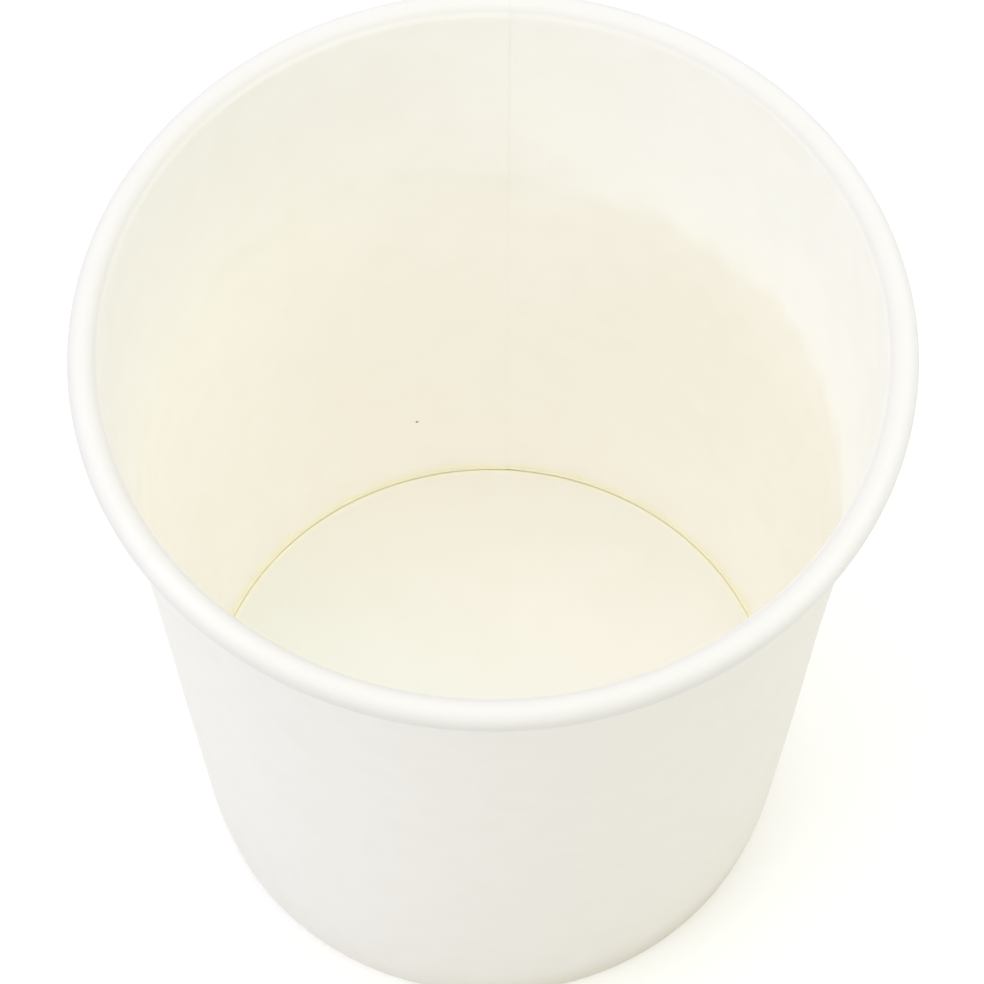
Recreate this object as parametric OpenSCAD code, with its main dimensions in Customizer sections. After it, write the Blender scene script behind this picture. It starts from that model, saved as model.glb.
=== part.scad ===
// Single-wall paper cup of the small, espresso size.
// One paper blank is wrapped into a tapered wall, lapped at the back, rolled outwards at the rim
// and folded in at the foot, where it grips the down-turned skirt of a separate paper base.
// The cup stands on z = 0 with its axis on Z. The lap is at the back, on the +Y side.

/* [Cup] */
// Diameter over the outside of the rolled rim
rim_d = 62; // [54:0.5:90]
// Height from the table to the top of the rim
height = 63; // [50:0.5:140]
// Diameter of the wall's outer face, carried down to the table
foot_d = 45; // [36:0.5:50]

/* [Paper] */
// Thickness of the wall's paper
wall_t = 0.3; // [0.2:0.05:0.4]
// Thickness of the base's paper
base_t = 0.3; // [0.2:0.05:0.4]

/* [Rim] */
// Diameter of the rolled rim's section
roll_d = 2.3; // [2.2:0.1:3.2]
// Gap between two turns of the roll
roll_gap = 0.1; // [0.05:0.01:0.15]

/* [Base] */
// Height of the base's upper face above the table
base_h = 4.4; // [3.6:0.1:10]
// Outside radius of the bend between the base and its skirt
base_bend_r = 0.8; // [0.6:0.1:1.4]
// Film that seals the skirt to the wall and to the hem, on each side
seal_gap = 0.05; // [0.04:0.01:0.1]
// Distance from the hem's free edge up to the bend of the base
hem_clear = 0.2; // [0.1:0.05:0.6]
// Depth to which the fold of the foot is pressed flat
foot_flat = 0.05; // [0.02:0.01:0.1]

/* [Lap] */
// Width over which the two ends of the blank overlap
lap_w = 6; // [4:0.5:10]
// Place of the lap's inner edge, to the right of the middle
lap_x = 1.1; // [0:0.1:3]
// Width over which the outer end comes back in beside the inner edge
lap_ramp = 1.5; // [1:0.1:3]
// Width of the groove beside the inner edge
groove_w = 0.15; // [0.1:0.05:0.3]
// Depth of the groove beside the inner edge
groove_d = 0.12; // [0.08:0.01:0.16]

/* [Hidden] */
$fn = 180;

paper = [0.95, 0.94, 0.9];
base_paper = [0.96, 0.95, 0.9];

// Radii of the roll, the foot and the rim
roll_r = roll_d / 2;
foot_r = foot_d / 2;
rim_r = rim_d / 2;

// The roll's centre, and the taper of a wall whose inner face runs into the roll's outside
roll_x = rim_r - roll_r;
roll_z = height - roll_r;
taper = acos((roll_r - wall_t) / norm([roll_x - foot_r, roll_z])) - atan2(roll_z, roll_x - foot_r);

// Places along the wall, in its own frame: x across the paper from the outer face, y up the slope
roll_across = roll_r - wall_t;
roll_up = (roll_x - foot_r) * sin(taper) + roll_z * cos(taper);
// Each half turn of the roll is this much smaller than the one before
roll_step = (wall_t + roll_gap) / 2;

// The foot holds wall, film, skirt, film and hem
stack = 2 * wall_t + base_t + 2 * seal_gap;
fold_r = stack / 2;
fold_up = (fold_r - foot_flat - fold_r * sin(taper)) / cos(taper);

// The base's skirt and the centre of its bend
skirt_out = -wall_t - seal_gap;
bend_across = skirt_out - base_bend_r;
bend_z = base_h - base_bend_r;
bend_up = (bend_z + bend_across * sin(taper)) / cos(taper);
plate_r = foot_r + bend_across * cos(taper) + bend_up * sin(taper);

// The hem's free edge, in its own middle plane
hem_mid = wall_t / 2 - stack;
hem_up = (bend_z - hem_clear + hem_mid * sin(taper)) / cos(taper);

// The lap's layer is rooted in the middle of the wall and runs up into the roll. Its ramp starts
// on the wall and rises by the paper's thickness and by what the round wall drops over its width
lap_root = wall_t / 2;
lap_top = roll_up - roll_r / 4;
ramp_x = lap_x + lap_ramp;
ramp_y = wall_y(ramp_x);
ramp_angle = atan((wall_t + wall_y(lap_x) - ramp_y) / lap_ramp);

// Cutters reach past what they cut, and a blade of a cutting fan is at most this many degrees wide
reach = 1;
widest_blade = 60;

// Depth of the wall's outer face behind the cup's middle, at the foot and at a place to the right
function wall_y(x) = sqrt(foot_r * foot_r - x * x);

// The frame of the wall's section, leaning outwards by the taper
module wall_frame() {
    translate([foot_r, 0]) rotate(-taper) children();
}

// A strip of paper between two places across and two places up the wall
module strip(across_from, across_to, up_from, up_to) {
    polygon([
        [across_from, up_from], [across_to, up_from], [across_to, up_to], [across_from, up_to]
    ]);
}

// A bent strip of paper: outside radius, thickness and the two angles it runs between.
// It is cut from a ring by a fan whose blades are narrow enough to reach past the ring
module bent_strip(r, t, from, to) {
    fan_r = 2 * r;
    blades = ceil((to - from) / widest_blade);
    fan = [for (i = [0 : blades]) let (a = from + (to - from) * i / blades) fan_r * [cos(a), sin(a)]];
    intersection() {
        difference() {
            circle(r);
            circle(r - t);
        }
        polygon(concat([[0, 0]], fan));
    }
}

// Keeps what lies above the table
module above_table() {
    intersection() {
        children();
        square([rim_r + reach, height + reach]);
    }
}

// Section of the wall's sheet: rolled rim, sloping wall, fold of the foot and hem
module wall_section() {
    above_table() wall_frame() {
        strip(-wall_t, 0, fold_up, roll_up);
        translate([roll_across, roll_up]) bent_strip(roll_r, wall_t, 0, 180);
        translate([roll_across + roll_step, roll_up])
            bent_strip(roll_r - roll_step, wall_t, 180, 360);
        translate([roll_across, roll_up]) bent_strip(roll_r - 2 * roll_step, wall_t, 90, 180);
        translate([-fold_r, fold_up]) bent_strip(fold_r, wall_t, 180, 360);
        strip(-stack, wall_t - stack, fold_up, hem_up);
    }
}

// Section of the second layer in the lap, from the foot up into the roll
module lap_section() {
    above_table() wall_frame() {
        strip(-lap_root, wall_t, fold_up, lap_top);
        translate([-fold_r, fold_up]) bent_strip(fold_r + wall_t, lap_root + wall_t, 270, 360);
    }
}

// The lap's second layer, cut square at its free end and sloped down beside the inner edge
module lap() {
    intersection() {
        rotate_extrude() lap_section();
        translate([lap_x - lap_w, 0, 0]) cube([lap_w + lap_ramp, rim_r, height]);
        translate([ramp_x, ramp_y, 0]) rotate([-taper, 0, 0]) rotate(-ramp_angle)
            translate([-2 * lap_w - lap_ramp, -rim_r, -reach])
            cube([2 * (lap_w + lap_ramp), rim_r, height + 2 * reach]);
    }
}

// Section of what the groove takes from the wall's inner face and from the top of the roll
module groove_section() {
    wall_frame() {
        strip(-wall_t - reach, groove_d - wall_t, bend_up, roll_up);
        translate([roll_across, roll_up]) bent_strip(roll_r + reach, reach + groove_d, 0, 180);
    }
}

// The narrow groove that the inner end's cut edge leaves, up the wall and over the rim
module groove() {
    intersection() {
        rotate_extrude() groove_section();
        translate([lap_x, 0, 0]) cube([groove_w, rim_r + reach, height + reach]);
    }
}

// The wall: one sheet from the tucked end of the roll to the free edge of the hem
module side_wall() {
    color(paper) difference() {
        union() {
            rotate_extrude() wall_section();
            lap();
        }
        groove();
    }
}

// All that the base closes in, drawn in on every side: below its plate, behind its skirt
module under_base(drawn_in, bottom) {
    wall_frame() {
        translate([bend_across, bend_up]) rotate(taper) {
            circle(base_bend_r - drawn_in);
            strip(-plate_r - reach, 0, -base_h, base_bend_r - drawn_in);
        }
        strip(bend_across, skirt_out - drawn_in, bottom, bend_up);
    }
}

// Section of the base: flat plate, bend and down-turned skirt
module base_section() {
    above_table() difference() {
        under_base(0, fold_up);
        under_base(base_t, fold_up - reach);
    }
}

// The base: one disc drawn down into a skirt at its edge
module base_disc() {
    color(base_paper) rotate_extrude() base_section();
}

side_wall();
base_disc();
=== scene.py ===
"""A small single-wall paper cup: one lapped and rolled sheet for the wall, one drawn disc for the base."""

import math

import bpy
import numpy as np
from bpy.props import FloatProperty, FloatVectorProperty, PointerProperty
from bpy.types import Operator, Panel, PropertyGroup
from mathutils import Matrix, Vector


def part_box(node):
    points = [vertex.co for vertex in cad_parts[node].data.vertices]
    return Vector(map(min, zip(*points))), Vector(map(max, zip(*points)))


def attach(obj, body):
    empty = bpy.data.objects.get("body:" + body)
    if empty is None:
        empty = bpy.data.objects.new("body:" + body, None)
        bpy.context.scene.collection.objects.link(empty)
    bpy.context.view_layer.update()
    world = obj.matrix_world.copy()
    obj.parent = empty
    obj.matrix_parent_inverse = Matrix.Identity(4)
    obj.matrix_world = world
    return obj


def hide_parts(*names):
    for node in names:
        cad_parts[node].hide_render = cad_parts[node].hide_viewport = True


bl_info = {
    "name": "Paper cup",
    "version": (1, 0, 0),
    "blender": (4, 5, 0),
    "location": "3D View > Sidebar > Paper cup",
    "description": "Makes a rolled-rim paper cup, its base and a plain studio",
    "category": "Add Mesh",
}

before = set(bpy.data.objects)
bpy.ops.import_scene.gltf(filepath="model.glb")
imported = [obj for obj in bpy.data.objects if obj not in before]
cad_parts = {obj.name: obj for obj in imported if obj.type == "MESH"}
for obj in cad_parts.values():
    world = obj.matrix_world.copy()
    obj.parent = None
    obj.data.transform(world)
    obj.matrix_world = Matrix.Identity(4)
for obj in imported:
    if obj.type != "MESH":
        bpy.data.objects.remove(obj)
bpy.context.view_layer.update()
WALL_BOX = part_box("side_wall")
BASE_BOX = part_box("base_disc")

# The picture's width in pixels, the focal length in pixels that fits it, and the sensor's width
PICTURE_WIDTH = 984
FOCAL_PIXELS = 7400
SENSOR_WIDTH = 36.0

# Light goes to and fro in a deep pale cup more often than Blender follows it by default
INSIDE_BOUNCES = 10

BACK = 0.5 * np.pi
FULL_TURN = 2 * np.pi

# Rows of the wall's sheet: how far below the roll the first stretch ends, the places up the wall where
# the next ones end, and the even steps in each. They are closest beside the base's edge
BELOW_ROLL = 0.004
ROW_STOPS = (0.0125, 0.006, 0.0046, 0.0041)
ROW_STEPS = (8, 33, 17, 4, 12, 8)

# Columns of the sheet: shares of its length where a stretch ends, and the even steps in each. They are
# closest at the inner end and where the outer end climbs over it
COLUMN_STOPS = (0.0, 0.0045, 0.94, 0.976, 1.0)
COLUMN_STEPS = (6, 180, 36, 8)

# Columns of the base
BASE_COLUMNS = 240

# Stretches at the foot and under the roll over which the lap turns from flush to raised
FLUSH_FOOT = 0.0015
FLUSH_ROLL = 0.002

# How far the paper gives way: the rim's oval, the wall's broad and narrow flats, and the pressed foot
OVAL = 0.00005
BROAD_FLATS = 0.00005
NARROW_FLATS = 0.00003
FOOT_PRESS = 0.0003
FOOT_PRESS_HEIGHT = 0.0042

# The crease: depth, half width, height and the height of its wave, and its ends in degrees round the cup
CREASE_DEPTH = 0.00006
CREASE_WIDTH = 0.0005
CREASE_HEIGHT = 0.009
CREASE_WAVE = 0.0004
CREASE_FROM = 96
CREASE_TO = 142
CREASE_END = 8

# The bead of coating: how far it stands above the base's face, over what depth it eases in, and over
# what length it ends at the lap
BEAD_ABOVE = 0.00008
BEAD_EASE = 0.00014
BEAD_END = 0.0003

# The base's bow and its saddle
BOW = 0.0001
SADDLE = 0.00006

# The paper's clouds: how many in a metre, the height of their cockle, and how they tint the paper
CLOUDS_PER_METRE = 360.0
CLOUD_HEIGHT = 0.00002
CLOUD_LIMITS = (0.35, 0.75)
CLOUD_TINT = (0.80, 0.765, 0.66)
CLOUD_SHARE = 0.07

# Finish of the paper: how strong its sheen is, and how rough the wall and the base are
SHEEN = 0.35
WALL_ROUGHNESS = 0.62
BASE_ROUGHNESS = 0.58

# Where tones of the wall's inside fade: to the right, up to the rim, and up and down the wall. To the
# right the inside is painted whiter above the drink's line as painted reflection, and darker below it
# as painted shade along with the stain; up to the rim and down to the base it is painted lighter as
# painted light
RIGHT_HALF = (0.0, 0.018)
UP_TO_RIM = (0.053, 0.0615)
STAIN_AND_SHADE_RISE = (0.008, 0.038)
LOW_DOWN = (0.018, 0.006)

# The drink's line: its slope and swell as waves with the times round, the degrees and the height of
# each, its wobble, the step of tone at it, and the lower and upper side of its darker band
LINE_SLOPE = (1, 140, 0.0013)
LINE_SWELL = (4, 34, 0.0009)
LINE_WOBBLE = 0.0018
LINE_STEP = (-0.0015, 0.0012)
BAND_BELOW = (-0.0022, -0.0002)
BAND_ABOVE = (0.0014, 0.0002)
BAND_SHARE = 0.45

# The stain beside the seam: its least and its further height over the base, how far it starts under
# the base's face, its strength, and the height over the base at which the seam's painted shade fades
STAIN_HEIGHT = 0.0004
STAIN_RIPPLE = 0.0014
STAIN_START = 0.0003
STAIN_SHARE = 0.7
SEAM_TOP = 0.00018
SEAM_FULL = 0.00002

# The stain on the base: how far in from the foot's radius it is centred, its inner and outer limit
# from there, and the limits of the seam's painted shade
STAIN_IN = 0.0002
BASE_STAIN = (-0.0004, 0.0002)
BASE_SEAM = (0.00012, 0.00024)

# The speck: its height, its place round the cup in degrees, the wall's slope and its place behind the
# outer face at the foot, and its own outer and inner limit
SPECK_HEIGHT = 0.0118
SPECK_DEGREES = 105
WALL_SLOPE = 0.105
SPECK_IN = 0.0003
SPECK_LIMITS = (0.00016, 0.00008)

# The rim's tones: limits from the crest outwards, to the back, to the right, and where the wall ends.
# The coating over the crest is painted darker as painted shade, and its outer side towards the back
# and the right is painted lighter as painted light
SHOULDER_OUT = (-0.0003, 0.0007)
SHOULDER_BACK = (-0.029, -0.018)
SHOULDER_RIGHT = (-0.05, -0.005)
RIM_INNER = (-0.0012, -0.00085)
RIM_UP = (0.055, 0.056)

# The bare outside: from left to right, painted darker and yellower towards the right as painted
# shade, and the painted shade of the foot, up and to the right
OUTSIDE_ACROSS = (-0.022, 0.013)
FOOT_SHADE_UP = (0.0055, 0.0004)
FOOT_SHADE_RIGHT = (-0.018, 0.012)
FOOT_SHADE_SHARE = 0.85

# The base's tone changes on a slant towards the back right
SLANT = 0.6
BASE_BACK_RIGHT_LIMITS = (-0.004, 0.014)

# Edges sharper than this many degrees stay sharp
SHARP_DEGREES = 40

# Numbers of the Mix node's sockets: its two floats and their result, its two colours and theirs
FLOAT_A, FLOAT_B, FLOAT_RESULT = 2, 3, 0
COLOUR_A, COLOUR_B, COLOUR_RESULT = 6, 7, 2

# The studio: half the floor's width, the lamps' common target, and each lamp's place, size and tint
HALF_FLOOR = 3.0
FLOOR_CORNERS = ((-1, -1), (1, -1), (1, 1), (-1, 1))
LAMP_TARGET = (0.0, 0.0, 0.03)
LAMPS = {
    "left": ((-0.68, -0.32, 0.75), 0.8, (0.97, 0.97, 1.0)),
    "right": ((0.62, -0.30, 0.80), 0.9, (1.0, 0.99, 0.66)),
    "top": ((0.0, 0.18, 1.08), 0.8, (0.91, 0.91, 1.0)),
}
WHITE = (1.0, 1.0, 1.0, 1.0)

# The camera: height as an angle in radians, distance, roll in radians, target and nearest distance
ELEVATION = 1.0623
DISTANCE = 0.556117
ROLL = 0.005
TARGET = (-0.00003, 0.0, 0.040936)
NEAREST = 0.01


def length(name, description, default):
    """A length in metres, shown in the scene's own units."""
    return FloatProperty(
        name=name, description=description, default=default, min=0.0, unit="LENGTH", precision=5
    )


def strength(name, description, default):
    """A lamp's power or a light's strength."""
    return FloatProperty(name=name, description=description, default=default, min=0.0)


def colour(name, description, default):
    """A linear colour."""
    return FloatVectorProperty(
        name=name, description=description, default=default, size=3, subtype="COLOR", min=0.0, max=1.0
    )


class CupSizes(PropertyGroup):
    """The cup's sizes, as it is built."""

    rim_diameter: length("Rim", "Diameter over the rolled rim", WALL_BOX[1].x - WALL_BOX[0].x)
    height: length("Height", "Height of the rim above the table", WALL_BOX[1].z)
    foot_diameter: length("Foot", "Diameter of the wall carried down to the table", 0.045)
    roll_diameter: length("Roll", "Diameter of the rolled rim's section", 0.0023)
    roll_gap: length("Roll gap", "Gap between two turns of the roll", 0.0001)
    wall_thickness: length("Wall paper", "Thickness of the wall's paper", 0.0003)
    base_thickness: length("Base paper", "Thickness of the base's paper", 0.0003)
    base_height: length("Base height", "Height of the base's upper face", BASE_BOX[1].z)
    base_bend: length("Base bend", "Outside radius of the bend at the base's edge", 0.00034)
    film: length("Film", "Film between the skirt and the paper on each side", 0.00001)
    hem_clearance: length("Hem clearance", "From the hem's free edge up to the base's bend", 0.00066)
    foot_flat: length("Foot flat", "Depth to which the foot's fold is pressed flat", 0.00005)


class LapSizes(PropertyGroup):
    """The lap where the wall's two ends overlap, at the back."""

    width: length("Width", "Overlap of the two ends", 0.006)
    place: length("Place", "Distance of the inner cut edge to the right of the middle", 0.0011)
    ramp: length("Ramp", "Width over which the outer end comes back in", 0.0015)
    press: FloatProperty(
        name="Press",
        description="Share of the paper's thickness that is pressed away in the inner end",
        default=0.78,
        min=0.0,
        max=0.8,
        subtype="FACTOR",
    )
    film: length("Film", "Film between the two ends", 0.00001)
    skive: length("Skive", "Width over which the inner end thins out to its cut edge", 0.0008)
    edge: length("Edge", "Thickness that is left at the inner cut edge", 0.000035)


class PaperLook(PropertyGroup):
    """The paper's colours and marks."""

    outside: colour("Outside", "The bare outer face, on the left", (0.934, 0.917, 0.886))
    # Painted shade: the bare outside is darker and yellower on the right, away from the lamp on the left
    outside_shade: colour("Aged outside", "The bare outer face, on the right", (0.918, 0.891, 0.832))
    # Painted shade: the coating over the rim is darker than the same coating inside, where the lamps light
    # the crest
    rim: colour("Rim", "The coated face over the top of the rim", (0.822, 0.811, 0.78))
    # Painted light: the rim's outer side is lighter towards the back and the right
    lit_shoulder: colour("Shoulder", "The coated face on the rim's outer side", (0.888, 0.884, 0.872))
    dry: colour("Above the line", "The inside above the drink's line", (0.968, 0.962, 0.938))
    # Painted reflection: the inside above the line is whiter on the right, where the coating faces the
    # lamp on the left
    clean: colour("Clean side", "The inside above the line on the right", (0.962, 0.965, 0.948))
    # Painted light: the inside is lighter just below the rim, where the wall faces in away from the lamps
    lit_below_rim: colour("Below the rim", "The untouched inside just below the rim", (0.988, 0.982, 0.957))
    wet: colour("Below the line", "The inside below the drink's line", (0.970, 0.954, 0.916))
    # The drink's stain below the line on the right, with painted shade: it is darker there than on the
    # left
    stain_and_shade_right: colour("Stained side", "The inside just below the line on the right", (0.919, 0.897, 0.83))
    # Painted light: the inside is lighter towards the base, deep in the cup
    low: colour("Low", "The inside just above the base", (0.988, 0.973, 0.935))
    edge: colour("Line", "The line itself, a little darker", (0.945, 0.938, 0.888))
    base: colour("Base", "The base's upper face, at the front", (0.843, 0.856, 0.812))
    # Towards the back right the base's upper face turns warmer and lighter
    base_back_right: colour("Steeped base", "The base's upper face, at the back right", (0.884, 0.868, 0.808))
    seam: colour("Seam", "The pale stain beside the seam of wall and base", (0.968, 0.940, 0.745))
    # Painted shade: the seam's darker yellow line, set where the bead of coating fills the corner
    corner: colour("Corner", "The seam itself, where the drink dried", (0.88, 0.85, 0.66))
    # Painted shade: the foot is darker low down on the right, where the wall turns in
    foot: colour("Foot", "The outer face where the foot was pressed and handled", (0.80, 0.765, 0.67))
    speck: colour("Speck", "The one dark speck low on the wall", (0.25, 0.20, 0.13))
    line_height: length("Line height", "Mean height of the drink's line", 0.0422)


class StudioLook(PropertyGroup):
    """Light and floor."""

    sky: strength("Sky", "Strength of the even light", 0.60)
    left: strength("Left", "Power of the lamp on the left, in watts", 2.95)
    right: strength("Right", "Power of the lamp on the right, in watts", 2.18)
    top: strength("Top", "Power of the lamp overhead, in watts", 4.0)
    floor: colour("Floor", "The pale floor", (0.86, 0.86, 0.86))
    glow: strength("Glow", "White that the floor adds in the picture alone", 0.22)


class CupSettings(PropertyGroup):
    """All of the cup's settings."""

    sizes: PointerProperty(type=CupSizes)
    lap: PointerProperty(type=LapSizes)
    paper: PointerProperty(type=PaperLook)
    studio: PointerProperty(type=StudioLook)


def ease(value):
    """The smooth step: 0 up to 0, 1 from 1 on, and 3v^2 - 2v^3 between."""
    v = np.clip(value, 0.0, 1.0)
    return v * v * (3 - 2 * v)


def spaced(stops, steps):
    """Places from the first stop to the last, with even steps between one stop and the next."""
    stretches = [np.linspace(a, b, n + 1)[:-1] for a, b, n in zip(stops, stops[1:], steps)]
    return np.concatenate([*stretches, [stops[-1]]])


def turn(centre, radius, start, end, count, side):
    """An arc of the paper's path: centre plus radius times (cos a, sin a), for a in even steps.

    The angles are in degrees. Side is 1 where the paper's outer face looks away from the centre and
    -1 where it looks at it.
    """
    a = np.radians(np.linspace(start, end, count))
    out = np.stack([np.cos(a), np.sin(a)], axis=1)
    return np.asarray(centre) + radius * out, side * out


def run(across, up, side):
    """A straight stretch of the paper's path at one place across and many places up."""
    points = np.stack([np.full_like(up, across), up], axis=1)
    return points, np.tile([float(side), 0.0], (len(up), 1))


def wall_frame(sizes):
    """The values that the wall's section is worked out from, as the solid part has them.

    The wall leans out by the taper that carries its inner face into the roll's outside: the roll's
    centre lies at roll_x, roll_z, and acos((roll - paper) / d) - atan2(roll_z, roll_x - foot) is the
    taper, where d is the distance from the foot's corner to that centre.
    """
    t = sizes.wall_thickness
    v = {"t": t, "foot": sizes.foot_diameter / 2, "roll": sizes.roll_diameter / 2}
    rise = sizes.height - v["roll"]
    lean = sizes.rim_diameter / 2 - v["roll"] - v["foot"]
    taper = math.acos((v["roll"] - t) / math.hypot(lean, rise)) - math.atan2(rise, lean)
    v["cos"], v["sin"] = math.cos(taper), math.sin(taper)
    v["taper"] = taper
    v["roll_across"] = v["roll"] - t
    v["roll_up"] = lean * v["sin"] + rise * v["cos"]
    v["roll_step"] = (t + sizes.roll_gap) / 2
    v["stack"] = 2 * t + sizes.base_thickness + 2 * sizes.film
    v["fold"] = v["stack"] / 2
    v["fold_up"] = (v["fold"] - sizes.foot_flat - v["fold"] * v["sin"]) / v["cos"]
    v["skirt"] = -t - sizes.film
    v["bend_across"] = v["skirt"] - sizes.base_bend
    v["bend_z"] = sizes.base_height - sizes.base_bend
    v["bend_up"] = (v["bend_z"] + v["bend_across"] * v["sin"]) / v["cos"]
    hem_middle = t / 2 - v["stack"]
    v["hem_up"] = (v["bend_z"] - sizes.hem_clearance + hem_middle * v["sin"]) / v["cos"]
    return v


def lean_out(points, v):
    """Turns points of the wall's own frame by the taper and sets them at the foot's radius."""
    x, y = points[..., 0], points[..., 1]
    return np.stack([x * v["cos"] + y * v["sin"], -x * v["sin"] + y * v["cos"]], axis=-1)


def wall_path(v):
    """The inner face of the wall's sheet, from the roll's tucked end to the hem's free edge.

    It is three half turns of a roll that is drawn in by one step each, the straight wall, the fold
    of the foot and the hem. Gives radius and height of each point, the direction towards the outer
    face, and how flush the lap lies there: 1 in the roll and in the foot, 0 up the wall.
    """
    tucked = [v["roll_across"], v["roll_up"]]
    under = [v["roll_across"] + v["roll_step"], v["roll_up"]]
    low, high = v["fold_up"], v["roll_up"]
    ups = spaced((high, high - BELOW_ROLL, *ROW_STOPS, low), ROW_STEPS)[1:]
    parts = [
        turn(tucked, v["roll"] - 2 * v["roll_step"], 90, 180, 8, -1),
        turn(under, v["roll"] - v["roll_step"], 180, 360, 18, -1),
        turn(tucked, v["roll"], 0, 180, 26, -1),
        run(-v["t"], ups, 1),
        turn([-v["fold"], low], v["fold"] - v["t"], 0, -180, 12, 1),
        run(v["t"] - v["stack"], np.linspace(low, v["hem_up"], 8), -1),
    ]
    joints = {1, 2, 4, 5}
    points = np.concatenate([p[1:] if i in joints else p for i, (p, _) in enumerate(parts)])
    normals = np.concatenate([n[1:] if i in joints else n for i, (_, n) in enumerate(parts)])
    outward = lean_out(normals, v)
    places = lean_out(points, v) + [v["foot"], 0.0]
    on_wall = (points[:, 0] <= -0.99 * v["t"]) & (points[:, 0] >= -1.01 * v["t"])
    up = points[:, 1]
    flush = 1 - ease((up - low) / FLUSH_FOOT) * ease((high - v["roll"] - up) / FLUSH_ROLL)
    return places, outward, np.where(on_wall, flush, 1.0)


def slack(angle, height, sizes):
    """How far the paper stands in from the true cone, in metres, at an angle and a height.

    The rim is a little oval, as the cosine of twice the angle. The wall has shallow flats, as a sine
    of five and one of eleven times the angle, which die out at the rim and at the base. The foot is
    drawn in where it was pressed, as a square of the depth below FOOT_PRESS_HEIGHT. One crease, a
    bell curve across a wavy line, runs low down at the back left.
    """
    share = np.clip(height / sizes.height, 0.0, 1.0)
    oval = OVAL * (1 - np.cos(2 * (angle - 0.6))) * share**2
    belly = np.sin(np.pi * ease((share - 0.08) / 0.9)) ** 2
    flats = belly * (
        BROAD_FLATS * (1 + np.sin(5 * angle + 1.3 + 2.0 * share))
        + NARROW_FLATS * (1 + np.sin(11 * angle + 0.4 - 3.0 * share))
    )
    foot = FOOT_PRESS * np.clip(1 - height / FOOT_PRESS_HEIGHT, 0.0, 1.0) ** 2
    turned = np.degrees(np.mod(angle, FULL_TURN))
    window = ease((turned - CREASE_FROM) / CREASE_END) * ease((CREASE_TO - turned) / CREASE_END)
    middle = CREASE_HEIGHT + CREASE_WAVE * np.sin(angle * 7)
    crease = CREASE_DEPTH * window * np.exp(-(((height - middle) / CREASE_WIDTH) ** 2))
    return oval + flats + foot + crease


def bead(height, sizes):
    """How far the coating stands in from the wall where it has run into the corner by the base's bend.

    It fills the gap beside an arc of radius r, which is r - sqrt(r^2 - (r - s)^2) at a depth s below
    the base's face, and eases out just above that face.
    """
    r = sizes.base_bend
    depth = sizes.base_height - height
    gap = r - np.sqrt(np.maximum(r**2 - (r - np.clip(depth, 0.0, r)) ** 2, 0.0))
    return gap * ease((depth + BEAD_ABOVE) / BEAD_EASE)


def mesh_object(name, points, faces, attributes):
    """A mesh object from whole arrays, smooth but for its cut edges, with floats on its points."""
    mesh = bpy.data.meshes.new(name)
    mesh.from_pydata(points.tolist(), [], faces)
    mesh.polygons.foreach_set("use_smooth", np.ones(len(mesh.polygons), dtype=bool))
    mesh.update()
    mesh.set_sharp_from_angle(angle=math.radians(SHARP_DEGREES))
    for key, values in attributes.items():
        layer = mesh.attributes.new(key, "FLOAT", "POINT")
        layer.data.foreach_set("value", np.ascontiguousarray(values, dtype=np.float32))
    if mesh.validate(verbose=False):
        raise RuntimeError(name + " has bad faces")
    piece = bpy.data.objects.new(name, mesh)
    bpy.context.scene.collection.objects.link(piece)
    return piece


def grid_quads(first, rows, cols, flip):
    """Quads of a grid of points whose numbers start at first and run row by row."""
    i = first + np.arange(rows - 1)[:, None] * cols + np.arange(cols - 1)[None]
    quads = np.stack([i, i + 1, i + cols + 1, i + cols], axis=-1).reshape(-1, 4)
    return quads[:, ::-1] if flip else quads


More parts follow.
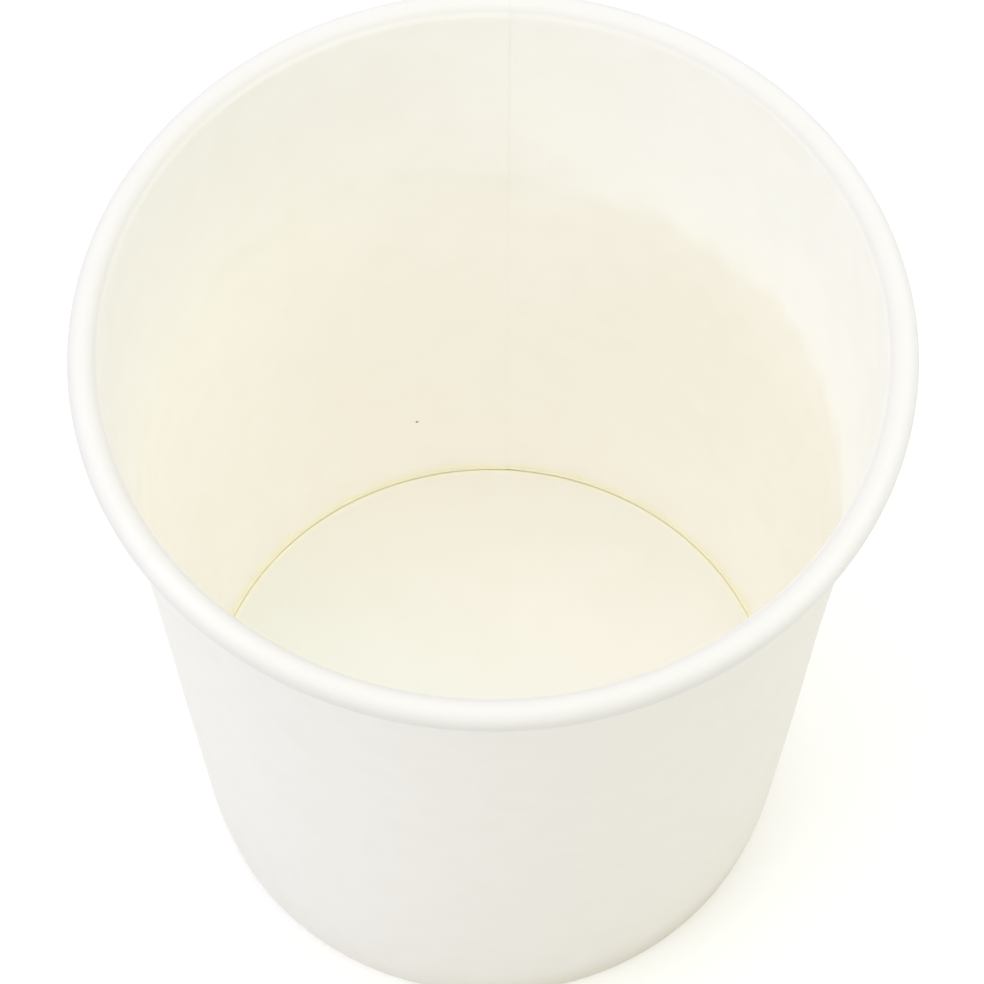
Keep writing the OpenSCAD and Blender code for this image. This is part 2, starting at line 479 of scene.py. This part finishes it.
def side_wall_mesh(sizes, lap):
    """The wall's sheet as a closed mesh.

    A point's row is its place on wall_path and its column its place round the cup. The angle of a
    column runs from the inner cut edge, which lies lap.place to the right of the back on every row,
    through a full turn to the outer cut edge, lap.width further on. The inner end is pressed thin
    and thins out to lap.edge at its cut. The inner face stands at the path plus, past the ramp, the
    thickness of the inner end there and a film, less the bead of coating above the base. The outer
    face stands one thickness further out, or flush with the single paper in the roll and the foot.
    """
    v = wall_frame(sizes)
    places, outward, flush = wall_path(v)
    radius = places[:, :1]
    start = BACK - np.arcsin(lap.place / radius)
    end = BACK + FULL_TURN + np.arcsin((lap.width - lap.place) / radius)
    angle = start + spaced(COLUMN_STOPS, COLUMN_STEPS)[None] * (end - start)
    from_inner = radius * (angle - start)
    over = radius * (angle - start - FULL_TURN)

    t = v["t"]
    pressed = 1 - ease((from_inner - lap.width) / lap.ramp)
    pressed_away = t * (1 - lap.press) - lap.edge
    inner_end = t * (1 - lap.press * pressed) - pressed_away * (1 - ease(from_inner / lap.skive))
    cleared = lap.edge + lap.film + pressed_away * ease(over / lap.skive)
    lifted = ease((over + lap.ramp) / lap.ramp) * cleared
    thickness = np.where(over > -lap.ramp, t - flush[:, None] * lifted, inner_end)

    def face(offset):
        r = places[:, :1] + outward[:, :1] * offset
        z = np.maximum(places[:, 1:] + outward[:, 1:] * offset, 0.0)
        r = r - slack(angle, z, sizes)
        return np.stack([r * np.cos(angle), r * np.sin(angle), z], axis=-1)

    sealed = bead(places[:, 1:], sizes) * (1 - ease(over / BEAD_END))
    inner = face(lifted - sealed)
    outer = face(lifted + thickness)
    rows, cols = angle.shape
    count = rows * cols
    points = np.concatenate([inner.reshape(-1, 3), outer.reshape(-1, 3)])
    number = np.arange(count).reshape(rows, cols)

    def rim_quads(line, flip):
        a, b = line[:-1], line[1:]
        quads = np.stack([a, b, b + count, a + count], axis=1)
        return quads[:, ::-1] if flip else quads

    faces = np.concatenate([
        grid_quads(0, rows, cols, False),
        grid_quads(count, rows, cols, True),
        rim_quads(number[0], True),
        rim_quads(number[-1], False),
        rim_quads(number[:, 0], False),
        rim_quads(number[:, -1], True),
    ])
    inside = np.concatenate([np.ones(count), np.zeros(count)])
    return points, faces.tolist(), {"inner_face": inside}


def base_profile(sizes, v):
    """The base's closed section from the middle of its top, over the bend, down the skirt and back.

    The two faces are a plate at the base's height, an arc about the bend's centre and a straight
    skirt along the wall, the second face drawn in by the paper's thickness.
    """
    t = sizes.base_thickness
    centre = lean_out(np.array([v["bend_across"], v["bend_up"]]), v) + [v["foot"], 0.0]
    lean = math.degrees(v["taper"])

    def face(drawn_in):
        r = sizes.base_bend - drawn_in
        plate_r = np.linspace(0.0, centre[0], 30)[1:-1]
        plate = np.stack([plate_r, np.full_like(plate_r, centre[1] + r)], axis=1)
        bend, _ = turn(centre, r, 90, -lean, 11, 1)
        ups = np.linspace(v["bend_up"], v["fold_up"], 9)[1:]
        skirt, _ = run(v["skirt"] - drawn_in, ups, 1)
        return np.concatenate([plate, bend, lean_out(skirt, v) + [v["foot"], 0.0]])

    return np.concatenate([face(0.0), face(t)[::-1]])


def base_disc_mesh(sizes):
    """The base as a closed mesh: base_profile turned about the axis, with a point at each pole.

    The plate bows up by a tenth of a millimetre and has a faint saddle, both of which die out
    towards its edge.
    """
    v = wall_frame(sizes)
    profile = base_profile(sizes, v)
    cols = BASE_COLUMNS
    angle = np.linspace(0.0, FULL_TURN, cols, endpoint=False)[None]
    r, z = profile[:, :1], profile[:, 1:]
    inward = np.clip(1 - (r / (v["foot"] + v["bend_across"])) ** 2, 0.0, 1.0)
    on_plate = z > v["bend_z"]
    saddle = SADDLE * (1 - inward) * np.cos(2 * angle + 0.8)
    bow = np.where(on_plate, inward * (BOW + saddle), 0.0)
    skirt_share = ease((r - 0.9 * v["foot"]) / (0.1 * v["foot"]))
    radius = r - skirt_share * slack(angle, z + 0 * angle, sizes)
    height = z + bow
    ring = np.stack([radius * np.cos(angle), radius * np.sin(angle), height], axis=-1)
    rows = len(profile)
    t = sizes.base_thickness
    top = [0.0, 0.0, sizes.base_height + BOW]
    bottom = [0.0, 0.0, sizes.base_height - t + BOW]
    points = np.concatenate([ring.reshape(-1, 3), [top, bottom]])
    number = np.arange(rows * cols).reshape(rows, cols)
    closed = np.concatenate([number, number[:, :1]], axis=1)
    a, b = closed[:-1, :-1], closed[:-1, 1:]
    c, d = closed[1:, 1:], closed[1:, :-1]
    quads = np.stack([a, d, c, b], axis=-1).reshape(-1, 4)
    first, last = closed[0], closed[-1]
    top_fan = np.stack([np.full(cols, rows * cols), first[:-1], first[1:]], axis=1)
    bottom_fan = np.stack([np.full(cols, rows * cols + 1), last[1:], last[:-1]], axis=1)
    upper = np.zeros(rows)
    upper[: rows // 2] = 1.0
    upper = np.concatenate([np.repeat(upper, cols), [1.0, 0.0]])
    faces = quads.tolist() + top_fan.tolist() + bottom_fan.tolist()
    return points, faces, {"inner_face": upper}


class Tree:
    """A material's node tree, with short calls for the nodes that the paper needs."""

    def __init__(self, name):
        self.material = bpy.data.materials.new(name)
        self.material.use_nodes = True
        self.nodes = self.material.node_tree.nodes
        self.links = self.material.node_tree.links
        self.shader = self.nodes["Principled BSDF"]
        self.place = self.nodes.new("ShaderNodeTexCoord").outputs["Object"]

    def plug(self, value, socket):
        """Links an output to a socket, or sets the socket's value."""
        if isinstance(value, bpy.types.NodeSocket):
            self.links.new(value, socket)
        else:
            socket.default_value = value

    def math(self, operation, *values):
        """One number worked out from others."""
        node = self.nodes.new("ShaderNodeMath")
        node.operation = operation
        for value, socket in zip(values, node.inputs):
            self.plug(value, socket)
        return node.outputs[0]

    def fade(self, value, start, end):
        """0 at start, 1 at end and smooth between."""
        node = self.nodes.new("ShaderNodeMapRange")
        node.interpolation_type = "SMOOTHSTEP"
        self.plug(value, node.inputs["Value"])
        self.plug(start, node.inputs["From Min"])
        self.plug(end, node.inputs["From Max"])
        return node.outputs["Result"]

    def both(self, first, second):
        """The product of two numbers, so 1 only where both are 1."""
        return self.math("MULTIPLY", first, second)

    def mix(self, share, first, second):
        """A colour between two others."""
        node = self.nodes.new("ShaderNodeMix")
        node.data_type = "RGBA"
        self.plug(share, node.inputs["Factor"])
        for value, number in ((first, COLOUR_A), (second, COLOUR_B)):
            paint = value if isinstance(value, bpy.types.NodeSocket) else (*value, 1.0)
            self.plug(paint, node.inputs[number])
        return node.outputs[COLOUR_RESULT]

    def noise(self, per_metre):
        """Even noise from 0 to 1 on the piece's own coordinates."""
        node = self.nodes.new("ShaderNodeTexNoise")
        node.inputs["Scale"].default_value = per_metre
        node.inputs["Detail"].default_value = 0.0
        self.links.new(self.place, node.inputs["Vector"])
        return node.outputs["Fac"]

    def attribute(self, name):
        """A float that the mesh carries."""
        node = self.nodes.new("ShaderNodeAttribute")
        node.attribute_name = name
        return node.outputs["Fac"]

    def xyz(self):
        """The three Object coordinates."""
        node = self.nodes.new("ShaderNodeSeparateXYZ")
        self.links.new(self.place, node.inputs[0])
        return node.outputs

    def radius(self):
        """Distance from the cup's axis, in metres."""
        x, y, _ = self.xyz()
        return self.math("SQRT", self.math("ADD", self.both(x, x), self.both(y, y)))

    def distance(self, point):
        """Distance from a point, in metres."""
        node = self.nodes.new("ShaderNodeVectorMath")
        node.operation = "DISTANCE"
        self.links.new(self.place, node.inputs[0])
        node.inputs[1].default_value = point
        return node.outputs["Value"]

    def paint(self, tone, roughness, clouds):
        """Gives the shader its colour and finish, and a slow cockle as bump."""
        self.plug(tone, self.shader.inputs["Base Color"])
        self.plug(roughness, self.shader.inputs["Roughness"])
        self.plug(SHEEN, self.shader.inputs["Specular IOR Level"])
        height = self.both(clouds, CLOUD_HEIGHT)
        bump = self.nodes.new("ShaderNodeBump")
        bump.inputs["Strength"].default_value = 1.0
        bump.inputs["Distance"].default_value = 1.0
        self.links.new(height, bump.inputs["Height"])
        self.links.new(bump.outputs[0], self.shader.inputs["Normal"])


def mottled(tree, clouds, tone):
    """Makes a colour a little darker in clouds, as paper and its coating are."""
    return tree.mix(tree.both(tree.fade(clouds, *CLOUD_LIMITS), CLOUD_SHARE), tone, CLOUD_TINT)


def moved(limits, by):
    """The two limits of a fade, both moved by a length."""
    return [limit + by for limit in limits]


def wall_paper(paper, sizes):
    """The wall's paper: bare outside, coated inside, with the drink's line, the seam's stain, and painted
    light and shade.
    """
    tree = Tree("wall_paper")
    x, y, z = tree.xyz()
    around = tree.math("ARCTAN2", y, x)
    radius = tree.radius()
    clouds = tree.noise(CLOUDS_PER_METRE)

    def wave(times, degrees, height):
        turned = tree.both(tree.math("SUBTRACT", around, math.radians(degrees)), float(times))
        return tree.both(tree.math("COSINE", turned), height)

    line = tree.math("ADD", wave(*LINE_SLOPE), wave(*LINE_SWELL))
    line = tree.math("ADD", line, paper.line_height)
    wobble = tree.both(tree.math("SUBTRACT", clouds, 0.5), LINE_WOBBLE)
    above = tree.math("SUBTRACT", z, tree.math("ADD", line, wobble))
    # Painted reflection on the right above the line, painted light just below the rim and low down, and
    # painted shade with the drink's stain on the right below the line
    on_right = tree.fade(x, *RIGHT_HALF)
    dry = tree.mix(on_right, paper.dry, paper.clean)
    dry = tree.mix(tree.fade(z, *UP_TO_RIM), dry, paper.lit_below_rim)
    wet = tree.mix(tree.both(on_right, tree.fade(z, *STAIN_AND_SHADE_RISE)), paper.wet, paper.stain_and_shade_right)
    wet = tree.mix(tree.fade(z, *LOW_DOWN), wet, paper.low)
    tone = tree.mix(tree.fade(above, *LINE_STEP), wet, dry)
    band = tree.both(tree.fade(above, *BAND_BELOW), tree.fade(above, *BAND_ABOVE))
    tone = tree.mix(tree.both(band, BAND_SHARE), tone, paper.edge)

    stain_top = tree.math("ADD", sizes.base_height + STAIN_HEIGHT, tree.both(clouds, STAIN_RIPPLE))
    stain = tree.fade(z, stain_top, sizes.base_height - STAIN_START)
    tone = tree.mix(tree.both(stain, STAIN_SHARE), tone, paper.seam)
    # Painted shade in the seam's corner
    seam = tree.fade(z, sizes.base_height + SEAM_TOP, sizes.base_height + SEAM_FULL)
    tone = tree.mix(seam, tone, paper.corner)

    speck_radius = sizes.foot_diameter / 2 - SPECK_IN + SPECK_HEIGHT * WALL_SLOPE
    turned = math.radians(SPECK_DEGREES)
    speck = (speck_radius * math.cos(turned), speck_radius * math.sin(turned), SPECK_HEIGHT)
    tone = tree.mix(tree.fade(tree.distance(speck), *SPECK_LIMITS), tone, paper.speck)

    # The rim: painted shade over the crest, painted light on its outer side towards the back and right
    crest = sizes.rim_diameter / 2 - sizes.roll_diameter / 2
    outward = tree.fade(radius, *moved(SHOULDER_OUT, crest))
    lit_shoulder = tree.both(outward, tree.fade(y, *SHOULDER_BACK))
    lit_shoulder = tree.both(lit_shoulder, tree.fade(x, *SHOULDER_RIGHT))
    rim = tree.mix(lit_shoulder, paper.rim, paper.lit_shoulder)
    over_rim = tree.both(tree.fade(radius, *moved(RIM_INNER, crest)), tree.fade(z, *RIM_UP))
    tone = tree.mix(over_rim, tone, rim)

    # Painted shade: the bare outside darker and yellower towards the right
    bare = tree.mix(tree.fade(x, *OUTSIDE_ACROSS), paper.outside, paper.outside_shade)
    # Painted shade at the foot on the right
    handled = tree.both(tree.fade(z, *FOOT_SHADE_UP), tree.fade(x, *FOOT_SHADE_RIGHT))
    bare = tree.mix(tree.both(handled, FOOT_SHADE_SHARE), bare, paper.foot)
    tone = tree.mix(tree.attribute("inner_face"), bare, tone)
    tree.paint(mottled(tree, clouds, tone), WALL_ROUGHNESS, clouds)
    return tree.material


def base_paper(paper, sizes):
    """The base's paper: bare below, coated above, with a little stain at its very edge and painted shade
    in the seam's corner.
    """
    tree = Tree("base_paper")
    x, y, _ = tree.xyz()
    radius = tree.radius()
    clouds = tree.noise(CLOUDS_PER_METRE)
    edge = sizes.foot_diameter / 2 - STAIN_IN
    slanted = tree.math("ADD", y, tree.both(x, SLANT))
    tone = tree.mix(tree.fade(slanted, *BASE_BACK_RIGHT_LIMITS), paper.base, paper.base_back_right)
    stain = tree.both(tree.fade(radius, *moved(BASE_STAIN, edge)), STAIN_SHARE)
    tone = tree.mix(stain, tone, paper.seam)
    # Painted shade in the seam's corner
    tone = tree.mix(tree.fade(radius, *moved(BASE_SEAM, edge)), tone, paper.corner)
    tone = tree.mix(tree.attribute("inner_face"), paper.outside, tone)
    tree.paint(mottled(tree, clouds, tone), BASE_ROUGHNESS, clouds)
    return tree.material


class CUP_OT_side_wall(Operator):
    """Make the wall: one sheet with its rolled rim, its lap and its folded foot"""

    bl_idname = "cup.side_wall"
    bl_label = "Side wall"

    def execute(self, context):
        settings = context.scene.paper_cup
        piece = mesh_object("side_wall_sheet", *side_wall_mesh(settings.sizes, settings.lap))
        piece.data.materials.append(wall_paper(settings.paper, settings.sizes))
        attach(piece, "root")
        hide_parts("side_wall")
        return {"FINISHED"}


class CUP_OT_base_disc(Operator):
    """Make the base: one disc drawn down into a skirt"""

    bl_idname = "cup.base_disc"
    bl_label = "Base"

    def execute(self, context):
        settings = context.scene.paper_cup
        piece = mesh_object("base_disc_sheet", *base_disc_mesh(settings.sizes))
        piece.data.materials.append(base_paper(settings.paper, settings.sizes))
        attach(piece, "root")
        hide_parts("base_disc")
        return {"FINISHED"}


def aim(thing, place, target):
    """Sets a lamp at a place, looking at a target."""
    thing.location = place
    thing.rotation_mode = "QUATERNION"
    thing.rotation_quaternion = (Vector(target) - Vector(place)).to_track_quat("-Z", "Y")


def area_lamp(name, power):
    """A square soft lamp, as LAMPS has it, that looks at the cup."""
    place, size, tint = LAMPS[name]
    lamp = bpy.data.lights.new(name, "AREA")
    lamp.size = size
    lamp.energy = power
    lamp.color = tint
    thing = bpy.data.objects.new(name, lamp)
    bpy.context.scene.collection.objects.link(thing)
    aim(thing, place, LAMP_TARGET)


def shown_white(nodes, links):
    """1 where the camera sees the surface, straight, in a reflection or through glass."""
    path = nodes.new("ShaderNodeLightPath")
    value = path.outputs["Is Camera Ray"]
    for name in ("Is Glossy Ray", "Is Transmission Ray"):
        node = nodes.new("ShaderNodeMath")
        node.operation = "MAXIMUM"
        links.new(value, node.inputs[0])
        links.new(path.outputs[name], node.inputs[1])
        value = node.outputs[0]
    return value


def studio_floor(studio):
    """A wide pale floor that keeps the cup's shadow and shows white around it."""
    corners = [(side * HALF_FLOOR, depth * HALF_FLOOR, 0.0) for side, depth in FLOOR_CORNERS]
    mesh = bpy.data.meshes.new("floor")
    mesh.from_pydata(corners, [], [(0, 1, 2, 3)])
    floor = bpy.data.objects.new("floor", mesh)
    bpy.context.scene.collection.objects.link(floor)
    material = bpy.data.materials.new("pale_floor")
    material.use_nodes = True
    material.cycles.emission_sampling = "NONE"
    nodes, links = material.node_tree.nodes, material.node_tree.links
    nodes.clear()
    output = nodes.new("ShaderNodeOutputMaterial")
    diffuse = nodes.new("ShaderNodeBsdfDiffuse")
    diffuse.inputs["Color"].default_value = (*studio.floor, 1.0)
    glow = nodes.new("ShaderNodeEmission")
    share = nodes.new("ShaderNodeMath")
    share.operation = "MULTIPLY"
    links.new(shown_white(nodes, links), share.inputs[0])
    share.inputs[1].default_value = studio.glow
    links.new(share.outputs[0], glow.inputs["Strength"])
    both = nodes.new("ShaderNodeAddShader")
    links.new(diffuse.outputs[0], both.inputs[0])
    links.new(glow.outputs[0], both.inputs[1])
    links.new(both.outputs[0], output.inputs["Surface"])
    mesh.materials.append(material)


def studio_sky(studio):
    """An even sky that lights the cup and is shown white."""
    world = bpy.data.worlds.new("studio")
    bpy.context.scene.world = world
    world.use_nodes = True
    nodes, links = world.node_tree.nodes, world.node_tree.links
    background = nodes["Background"]
    background.inputs["Color"].default_value = WHITE
    level = nodes.new("ShaderNodeMix")
    level.data_type = "FLOAT"
    links.new(shown_white(nodes, links), level.inputs["Factor"])
    level.inputs[FLOAT_A].default_value = studio.sky
    level.inputs[FLOAT_B].default_value = 1.0
    links.new(level.outputs[FLOAT_RESULT], background.inputs["Strength"])


def studio_camera():
    """The camera of the picture: a long lens, well above the cup, in front of it."""
    camera = bpy.data.cameras.new("camera")
    camera.sensor_width = SENSOR_WIDTH
    camera.lens = SENSOR_WIDTH * FOCAL_PIXELS / PICTURE_WIDTH
    camera.clip_start = NEAREST
    thing = bpy.data.objects.new("camera", camera)
    bpy.context.scene.collection.objects.link(thing)
    back = Vector((0.0, -math.cos(ELEVATION), math.sin(ELEVATION)))
    turned = (-back).to_track_quat("-Z", "Y").to_matrix() @ Matrix.Rotation(ROLL, 3, "Z")
    thing.rotation_mode = "QUATERNION"
    thing.rotation_quaternion = turned.to_quaternion()
    thing.location = Vector(TARGET) + back * DISTANCE
    bpy.context.scene.camera = thing


class CUP_OT_studio(Operator):
    """Make the plain studio: floor, sky, lamps and camera"""

    bl_idname = "cup.studio"
    bl_label = "Studio"

    def execute(self, context):
        studio = context.scene.paper_cup.studio
        studio_floor(studio)
        studio_sky(studio)
        for name in LAMPS:
            area_lamp(name, getattr(studio, name))
        studio_camera()
        context.scene.cycles.diffuse_bounces = INSIDE_BOUNCES
        context.scene.view_settings.view_transform = "Standard"
        return {"FINISHED"}


class CUP_PT_panel(Panel):
    """The cup's settings and makers"""

    bl_label = "Paper cup"
    bl_space_type = "VIEW_3D"
    bl_region_type = "UI"
    bl_category = "Paper cup"

    def draw(self, context):
        settings = context.scene.paper_cup
        for group in (settings.sizes, settings.lap, settings.paper, settings.studio):
            box = self.layout.box()
            for key in group.__annotations__:
                box.prop(group, key)
        for maker in (CUP_OT_side_wall, CUP_OT_base_disc, CUP_OT_studio):
            self.layout.operator(maker.bl_idname)


CLASSES = (
    CupSizes,
    LapSizes,
    PaperLook,
    StudioLook,
    CupSettings,
    CUP_OT_side_wall,
    CUP_OT_base_disc,
    CUP_OT_studio,
    CUP_PT_panel,
)


def register():
    """Adds the classes and the scene's settings."""
    for item in CLASSES:
        bpy.utils.register_class(item)
    bpy.types.Scene.paper_cup = PointerProperty(type=CupSettings)


def unregister():
    """Takes them away again."""
    del bpy.types.Scene.paper_cup
    for item in reversed(CLASSES):
        bpy.utils.unregister_class(item)


def main():
    """Makes the cup and the studio."""
    register()
    bpy.ops.cup.side_wall()
    bpy.ops.cup.base_disc()
    bpy.ops.cup.studio()


if __name__ == "__main__":
    main()
